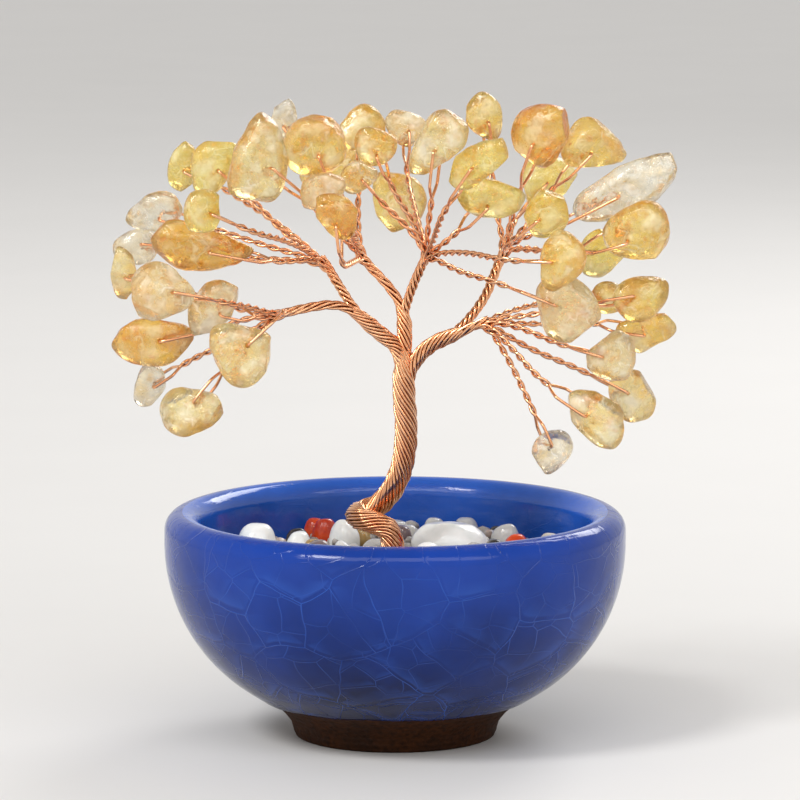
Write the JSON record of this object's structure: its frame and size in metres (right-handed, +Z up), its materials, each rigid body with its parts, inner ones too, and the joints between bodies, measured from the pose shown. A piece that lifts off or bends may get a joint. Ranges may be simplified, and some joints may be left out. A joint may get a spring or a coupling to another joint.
{
  "type": "gemstone tree ornament",
  "caption": "Twisted copper wire tree hung with drilled pale yellow crystal chips that swing on their wires, planted over pebbles in a blue crackle-glazed footed bowl.",
  "frame": {"origin": "centre of the bowl's foot, on the surface that the ornament stands on", "axes": "+Z up along the bowl's axis, -Y towards the viewer of the front, +X to that viewer's right"},
  "size_m": [0.0694, 0.056, 0.0779],
  "materials": {
    "cobalt_glaze": "gloss",
    "plaster": "matte",
    "white_stone": "satin",
    "clear_stone": "gloss",
    "red_stone": "gloss",
    "dark_stone": "satin",
    "copper_wire": "polished",
    "citrine_clear": "gloss",
    "citrine_pale": "gloss",
    "citrine_gold": "gloss",
    "citrine_amber": "gloss"
  },
  "bodies": {
    "base": {"bowl": "cobalt_glaze", "plaster_fill": "plaster", "white_stones": "white_stone", "clear_stones": "clear_stone", "red_stones": "red_stone", "dark_stones": "dark_stone", "trunk": "copper_wire", "left_limb": "copper_wire", "middle_left_limb": "copper_wire", "right_limb": "copper_wire", "upper_left_limb": "copper_wire", "middle_right_limb": "copper_wire", "upper_right_limb": "copper_wire", "left_twigs": "copper_wire", "middle_twigs": "copper_wire", "right_twigs": "copper_wire"},
    "chip_left_1": {"chip_left_1": "citrine_pale"},
    "chip_left_2": {"chip_left_2": "citrine_clear"},
    "chip_left_3": {"chip_left_3": "citrine_amber"},
    "chip_left_4": {"chip_left_4": "citrine_pale"},
    "chip_left_5": {"chip_left_5": "citrine_gold"},
    "chip_left_6": {"chip_left_6": "citrine_amber"},
    "chip_left_7": {"chip_left_7": "citrine_clear"},
    "chip_upper_left_1": {"chip_upper_left_1": "citrine_amber"},
    "chip_upper_left_2": {"chip_upper_left_2": "citrine_clear"},
    "chip_upper_left_3": {"chip_upper_left_3": "citrine_clear"},
    "chip_upper_left_4": {"chip_upper_left_4": "citrine_gold"},
    "chip_upper_left_5": {"chip_upper_left_5": "citrine_gold"},
    "chip_upper_left_6": {"chip_upper_left_6": "citrine_gold"},
    "chip_middle_left_1": {"chip_middle_left_1": "citrine_pale"},
    "chip_middle_left_2": {"chip_middle_left_2": "citrine_clear"},
    "chip_middle_left_3": {"chip_middle_left_3": "citrine_gold"},
    "chip_middle_left_4": {"chip_middle_left_4": "citrine_gold"},
    "chip_middle_left_5": {"chip_middle_left_5": "citrine_gold"},
    "chip_middle_left_6": {"chip_middle_left_6": "citrine_pale"},
    "chip_middle_left_7": {"chip_middle_left_7": "citrine_amber"},
    "chip_middle_right_1": {"chip_middle_right_1": "citrine_gold"},
    "chip_middle_right_2": {"chip_middle_right_2": "citrine_pale"},
    "chip_middle_right_3": {"chip_middle_right_3": "citrine_pale"},
    "chip_middle_right_4": {"chip_middle_right_4": "citrine_clear"},
    "chip_middle_right_5": {"chip_middle_right_5": "citrine_gold"},
    "chip_middle_right_6": {"chip_middle_right_6": "citrine_pale"},
    "chip_middle_right_7": {"chip_middle_right_7": "citrine_gold"},
    "chip_middle_right_8": {"chip_middle_right_8": "citrine_gold"},
    "chip_middle_right_9": {"chip_middle_right_9": "citrine_pale"},
    "chip_upper_right_1": {"chip_upper_right_1": "citrine_gold"},
    "chip_upper_right_2": {"chip_upper_right_2": "citrine_amber"},
    "chip_upper_right_3": {"chip_upper_right_3": "citrine_pale"},
    "chip_upper_right_4": {"chip_upper_right_4": "citrine_pale"},
    "chip_upper_right_5": {"chip_upper_right_5": "citrine_pale"},
    "chip_upper_right_6": {"chip_upper_right_6": "citrine_pale"},
    "chip_upper_right_7": {"chip_upper_right_7": "citrine_gold"},
    "chip_upper_right_8": {"chip_upper_right_8": "citrine_gold"},
    "chip_right_1": {"chip_right_1": "citrine_clear"},
    "chip_right_2": {"chip_right_2": "citrine_pale"},
    "chip_right_3": {"chip_right_3": "citrine_pale"},
    "chip_right_4": {"chip_right_4": "citrine_pale"},
    "chip_right_5": {"chip_right_5": "citrine_pale"},
    "chip_right_6": {"chip_right_6": "citrine_gold"},
    "chip_right_7": {"chip_right_7": "citrine_clear"}
  },
  "joints": [
    {"name": "chip_left_1_swing", "type": "hinge", "parent": "base", "child": "chip_left_1", "pos_m": [-0.02376, -0.01033, 0.04196], "axis": [0.1098, 0.9408, -0.3206], "range_deg": [-12, 12]},
    {"name": "chip_left_2_swing", "type": "hinge", "parent": "base", "child": "chip_left_2", "pos_m": [-0.02926, 0.00201, 0.04274], "axis": [-0.0038, 0.965, 0.2622], "range_deg": [-12, 12]},
    {"name": "chip_left_3_swing", "type": "hinge", "parent": "base", "child": "chip_left_3", "pos_m": [-0.02819, -0.00317, 0.04879], "axis": [0.0322, 0.9993, -0.021], "range_deg": [-12, 12]},
    {"name": "chip_left_4_swing", "type": "hinge", "parent": "base", "child": "chip_left_4", "pos_m": [-0.01751, -0.01761, 0.05002], "axis": [-0.1294, 0.9707, -0.2022], "range_deg": [-12, 12]},
    {"name": "chip_left_5_swing", "type": "hinge", "parent": "base", "child": "chip_left_5", "pos_m": [-0.02103, -0.00721, 0.05317], "axis": [-0.0944, 0.9426, 0.3204], "range_deg": [-12, 12]},
    {"name": "chip_left_6_swing", "type": "hinge", "parent": "base", "child": "chip_left_6", "pos_m": [-0.02674, -0.01443, 0.05592], "axis": [-0.2925, 0.9424, -0.1621], "range_deg": [-12, 12]},
    {"name": "chip_left_7_swing", "type": "hinge", "parent": "base", "child": "chip_left_7", "pos_m": [-0.03252, 0.00411, 0.05554], "axis": [0.1844, 0.9819, 0.0442], "range_deg": [-12, 12]},
    {"name": "chip_upper_left_1_swing", "type": "hinge", "parent": "base", "child": "chip_upper_left_1", "pos_m": [-0.02245, -0.00571, 0.0602], "axis": [-0.1592, 0.9726, 0.1694], "range_deg": [-12, 12]},
    {"name": "chip_upper_left_2_swing", "type": "hinge", "parent": "base", "child": "chip_upper_left_2", "pos_m": [-0.03077, 0.00727, 0.05884], "axis": [0.0874, 0.9523, -0.2924], "range_deg": [-12, 12]},
    {"name": "chip_upper_left_3_swing", "type": "hinge", "parent": "base", "child": "chip_upper_left_3", "pos_m": [-0.02836, 0.00312, 0.06324], "axis": [0.1079, 0.9576, 0.267], "range_deg": [-12, 12]},
    {"name": "chip_upper_left_4_swing", "type": "hinge", "parent": "base", "child": "chip_upper_left_4", "pos_m": [-0.02198, -0.01555, 0.06566], "axis": [-0.2972, 0.954, 0.0401], "range_deg": [-12, 12]},
    {"name": "chip_upper_left_5_swing", "type": "hinge", "parent": "base", "child": "chip_upper_left_5", "pos_m": [-0.02137, 0.00209, 0.06873], "axis": [-0.0475, 0.9954, -0.0828], "range_deg": [-12, 12]},
    {"name": "chip_upper_left_6_swing", "type": "hinge", "parent": "base", "child": "chip_upper_left_6", "pos_m": [-0.02552, 0.01145, 0.06789], "axis": [0.2857, 0.9493, 0.1315], "range_deg": [-12, 12]},
    {"name": "chip_middle_left_1_swing", "type": "hinge", "parent": "base", "child": "chip_middle_left_1", "pos_m": [-0.01538, -0.00733, 0.07008], "axis": [-0.3372, 0.9391, -0.0663], "range_deg": [-12, 12]},
    {"name": "chip_middle_left_2_swing", "type": "hinge", "parent": "base", "child": "chip_middle_left_2", "pos_m": [-0.01335, 0.00937, 0.07334], "axis": [0.2329, 0.9715, -0.0444], "range_deg": [-12, 12]},
    {"name": "chip_middle_left_3_swing", "type": "hinge", "parent": "base", "child": "chip_middle_left_3", "pos_m": [-0.00915, -0.00116, 0.07135], "axis": [0.0038, 0.9948, 0.1017], "range_deg": [-12, 12]},
    {"name": "chip_middle_left_4_swing", "type": "hinge", "parent": "base", "child": "chip_middle_left_4", "pos_m": [-0.00409, 0.00825, 0.07218], "axis": [-0.2318, 0.9592, -0.1618], "range_deg": [-12, 12]},
    {"name": "chip_middle_left_5_swing", "type": "hinge", "parent": "base", "child": "chip_middle_left_5", "pos_m": [-0.00678, -0.01661, 0.06481], "axis": [0.095, 0.9567, 0.2752], "range_deg": [-12, 12]},
    {"name": "chip_middle_left_6_swing", "type": "hinge", "parent": "base", "child": "chip_middle_left_6", "pos_m": [-0.00834, -0.00924, 0.06694], "axis": [-0.2891, 0.9444, 0.1569], "range_deg": [-12, 12]},
    {"name": "chip_middle_left_7_swing", "type": "hinge", "parent": "base", "child": "chip_middle_left_7", "pos_m": [-0.00771, 0.01864, 0.06627], "axis": [0.1255, 0.9592, -0.2532], "range_deg": [-12, 12]},
    {"name": "chip_middle_right_1_swing", "type": "hinge", "parent": "base", "child": "chip_middle_right_1", "pos_m": [-0.00202, -0.00869, 0.07204], "axis": [0.1077, 0.9663, 0.2337], "range_deg": [-12, 12]},
    {"name": "chip_middle_right_2_swing", "type": "hinge", "parent": "base", "child": "chip_middle_right_2", "pos_m": [0.00137, 0.0124, 0.07219], "axis": [-0.2149, 0.9307, -0.2961], "range_deg": [-12, 12]},
    {"name": "chip_middle_right_3_swing", "type": "hinge", "parent": "base", "child": "chip_middle_right_3", "pos_m": [0.00508, -0.00415, 0.0719], "axis": [0.2587, 0.9653, 0.0358], "range_deg": [-12, 12]},
    {"name": "chip_middle_right_4_swing", "type": "hinge", "parent": "base", "child": "chip_middle_right_4", "pos_m": [-0.00394, -0.0021, 0.06803], "axis": [-0.0496, 0.9976, -0.048], "range_deg": [-12, 12]},
    {"name": "chip_middle_right_5_swing", "type": "hinge", "parent": "base", "child": "chip_middle_right_5", "pos_m": [0.00083, 0.01553, 0.06299], "axis": [0.062, 0.9734, -0.2205], "range_deg": [-12, 12]},
    {"name": "chip_middle_right_6_swing", "type": "hinge", "parent": "base", "child": "chip_middle_right_6", "pos_m": [0.00948, -0.01493, 0.07104], "axis": [0.3425, 0.9331, 0.11], "range_deg": [-12, 12]},
    {"name": "chip_middle_right_7_swing", "type": "hinge", "parent": "base", "child": "chip_middle_right_7", "pos_m": [0.0109, -0.00515, 0.06565], "axis": [-0.1091, 0.9539, 0.2796], "range_deg": [-12, 12]},
    {"name": "chip_middle_right_8_swing", "type": "hinge", "parent": "base", "child": "chip_middle_right_8", "pos_m": [0.01874, -0.01972, 0.06031], "axis": [0.2892, 0.954, -0.0791], "range_deg": [-12, 12]},
    {"name": "chip_middle_right_9_swing", "type": "hinge", "parent": "base", "child": "chip_middle_right_9", "pos_m": [0.01942, -0.01236, 0.05407], "axis": [0.1755, 0.971, -0.1623], "range_deg": [-12, 12]},
    {"name": "chip_upper_right_1_swing", "type": "hinge", "parent": "base", "child": "chip_upper_right_1", "pos_m": [0.01095, 0.00625, 0.07414], "axis": [-0.2593, 0.9593, -0.1116], "range_deg": [-12, 12]},
    {"name": "chip_upper_right_2_swing", "type": "hinge", "parent": "base", "child": "chip_upper_right_2", "pos_m": [0.01717, -0.0009, 0.07245], "axis": [0.3158, 0.9484, 0.0281], "range_deg": [-12, 12]},
    {"name": "chip_upper_right_3_swing", "type": "hinge", "parent": "base", "child": "chip_upper_right_3", "pos_m": [0.02348, 0.00827, 0.07034], "axis": [-0.2072, 0.9781, 0.0199], "range_deg": [-12, 12]},
    {"name": "chip_upper_right_4_swing", "type": "hinge", "parent": "base", "child": "chip_upper_right_4", "pos_m": [0.02701, -0.00094, 0.06627], "axis": [0.081, 0.9915, 0.1018], "range_deg": [-12, 12]},
    {"name": "chip_upper_right_5_swing", "type": "hinge", "parent": "base", "child": "chip_upper_right_5", "pos_m": [0.01745, -0.01279, 0.06476], "axis": [0.2775, 0.9557, 0.0984], "range_deg": [-12, 12]},
    {"name": "chip_upper_right_6_swing", "type": "hinge", "parent": "base", "child": "chip_upper_right_6", "pos_m": [0.02796, -0.00707, 0.06202], "axis": [0.1477, 0.9339, 0.3256], "range_deg": [-12, 12]},
    {"name": "chip_upper_right_7_swing", "type": "hinge", "parent": "base", "child": "chip_upper_right_7", "pos_m": [0.02443, 0.01135, 0.05758], "axis": [-0.2465, 0.9544, -0.1683], "range_deg": [-12, 12]},
    {"name": "chip_upper_right_8_swing", "type": "hinge", "parent": "base", "child": "chip_upper_right_8", "pos_m": [0.01847, 0.01865, 0.06519], "axis": [-0.1835, 0.9594, -0.2141], "range_deg": [-12, 12]},
    {"name": "chip_right_1_swing", "type": "hinge", "parent": "base", "child": "chip_right_1", "pos_m": [0.0252, 0.0072, 0.05253], "axis": [-0.242, 0.9546, 0.1737], "range_deg": [-12, 12]},
    {"name": "chip_right_2_swing", "type": "hinge", "parent": "base", "child": "chip_right_2", "pos_m": [0.0288, -0.00109, 0.05351], "axis": [0.0054, 0.9509, -0.3095], "range_deg": [-12, 12]},
    {"name": "chip_right_3_swing", "type": "hinge", "parent": "base", "child": "chip_right_3", "pos_m": [0.03015, 0.00513, 0.04879], "axis": [-0.1214, 0.9584, 0.2582], "range_deg": [-12, 12]},
    {"name": "chip_right_4_swing", "type": "hinge", "parent": "base", "child": "chip_right_4", "pos_m": [0.02495, -0.0093, 0.04766], "axis": [0.1557, 0.9833, -0.094], "range_deg": [-12, 12]},
    {"name": "chip_right_5_swing", "type": "hinge", "parent": "base", "child": "chip_right_5", "pos_m": [0.02791, -0.00108, 0.04205], "axis": [-0.1106, 0.9854, -0.1298], "range_deg": [-12, 12]},
    {"name": "chip_right_6_swing", "type": "hinge", "parent": "base", "child": "chip_right_6", "pos_m": [0.02327, -0.0124, 0.04134], "axis": [0.3282, 0.9388, 0.105], "range_deg": [-12, 12]},
    {"name": "chip_right_7_swing", "type": "hinge", "parent": "base", "child": "chip_right_7", "pos_m": [0.01846, -0.00934, 0.03672], "axis": [-0.1694, 0.9516, -0.2563], "range_deg": [-12, 12]}
  ]
}
